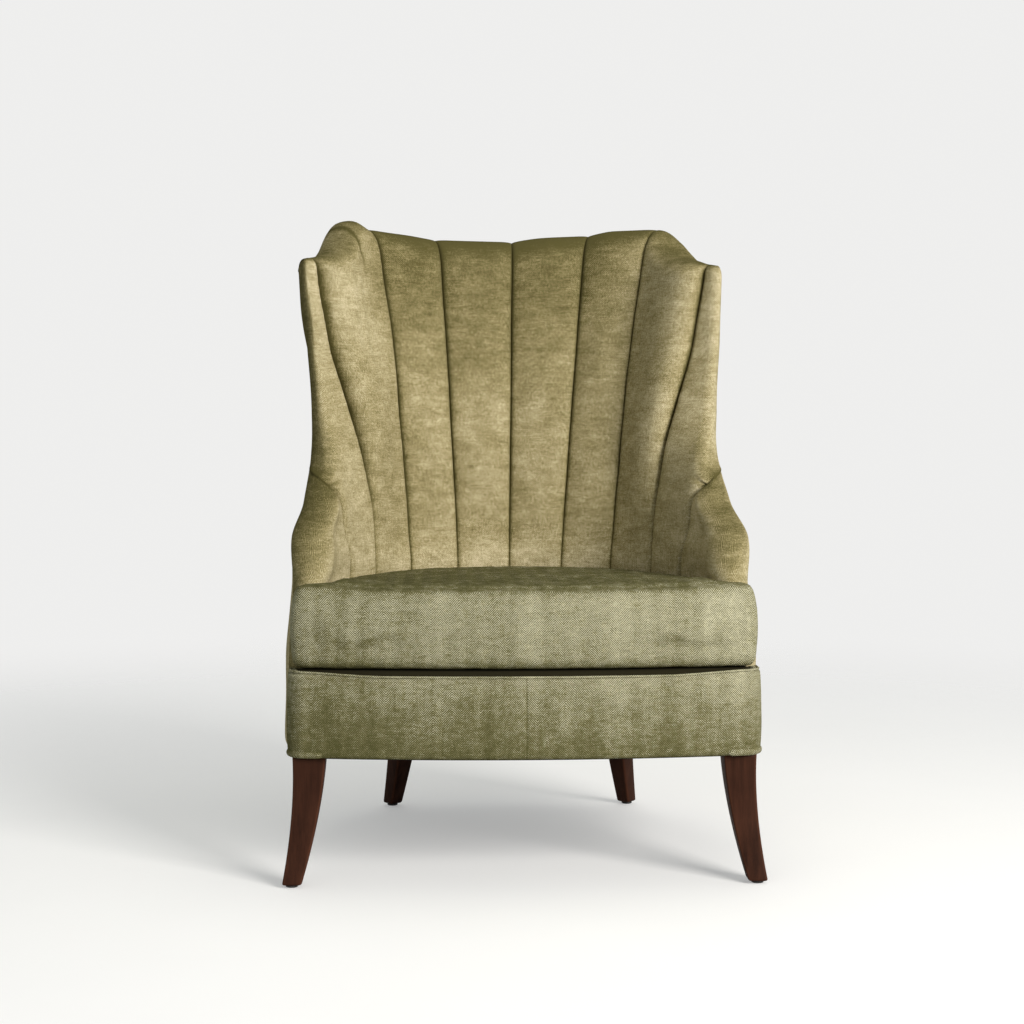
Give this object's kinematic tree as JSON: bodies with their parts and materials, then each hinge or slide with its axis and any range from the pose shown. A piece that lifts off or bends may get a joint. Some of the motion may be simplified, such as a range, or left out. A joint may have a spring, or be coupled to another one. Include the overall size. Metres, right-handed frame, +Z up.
{
  "type": "wingback armchair",
  "caption": "Wingback armchair with a fluted barrel back that runs into wings and swooping arms, a loose full-width seat cushion and dark wood sabre legs.",
  "frame": {"origin": "on the floor under the middle of the chair's box", "axes": "+Z up, the chair faces -Y, +X to the sitter's left"},
  "size_m": [0.7888, 0.7962, 1.1047],
  "materials": {
    "upholstery_fabric": "olive chenille with a fine twill weave and crushed sheen",
    "leg_wood": "dark reddish-brown satin lacquer",
    "frame_wood": "raw hardwood",
    "foam": "open-cell foam",
    "burlap": "coarse jute cloth",
    "steel": "bright zinc plate",
    "dust_cloth": "black non-woven cloth",
    "glide_nylon": "dark moulded nylon"
  },
  "bodies": {
    "chair": {"back_channel_1": "upholstery_fabric", "back_channel_2": "upholstery_fabric", "back_channel_3": "upholstery_fabric", "back_channel_4": "upholstery_fabric", "back_channel_5": "upholstery_fabric", "back_channel_6": "upholstery_fabric", "back_channel_7": "upholstery_fabric", "back_channel_8": "upholstery_fabric", "left_arm_pad": "upholstery_fabric", "right_arm_pad": "upholstery_fabric", "outside_back_cover": "upholstery_fabric", "left_outside_cover": "upholstery_fabric", "right_outside_cover": "upholstery_fabric", "front_border": "upholstery_fabric", "border_welt": "upholstery_fabric", "back_pad": "foam", "seat_deck_pad": "foam", "back_burlap": "burlap", "dust_cover": "dust_cloth", "front_rail": "frame_wood", "back_rail": "frame_wood", "left_side_rail": "frame_wood", "right_side_rail": "frame_wood", "left_front_leg_block": "frame_wood", "right_front_leg_block": "frame_wood", "left_rear_leg_block": "frame_wood", "right_rear_leg_block": "frame_wood", "left_back_post": "frame_wood", "right_back_post": "frame_wood", "crest_rail": "frame_wood", "lower_back_rail": "frame_wood", "left_wing_top_rail": "frame_wood", "right_wing_top_rail": "frame_wood", "left_wing_post": "frame_wood", "right_wing_post": "frame_wood", "left_arm_rail": "frame_wood", "right_arm_rail": "frame_wood", "left_arm_stump": "frame_wood", "right_arm_stump": "frame_wood", "left_front_leg": "leg_wood", "right_front_leg": "leg_wood", "left_rear_leg": "leg_wood", "right_rear_leg": "leg_wood", "left_front_glide": "glide_nylon", "right_front_glide": "glide_nylon", "left_rear_glide": "glide_nylon", "right_rear_glide": "glide_nylon", "left_front_leg_bolt": "steel", "right_front_leg_bolt": "steel", "left_rear_leg_bolt": "steel", "right_rear_leg_bolt": "steel", "seat_spring_1": "steel", "seat_spring_2": "steel", "seat_spring_3": "steel", "seat_spring_4": "steel"},
    "seat_cushion": {"cushion_cover": "upholstery_fabric", "cushion_core": "foam", "cushion_zip": "glide_nylon"},
    "zip_slider": {"zip_slider": "steel"}
  },
  "joints": [
    {"name": "seat_cushion_lift", "type": "slide", "parent": "chair", "child": "seat_cushion", "axis": [0, 0, 1], "range_m": [0, 0.8]},
    {"name": "zip_slider_run", "type": "hinge", "parent": "seat_cushion", "child": "zip_slider", "pos_m": [0, -0.19648, 0.4055], "axis": [0, 0, -1], "range_deg": [0, 44.8]}
  ]
}
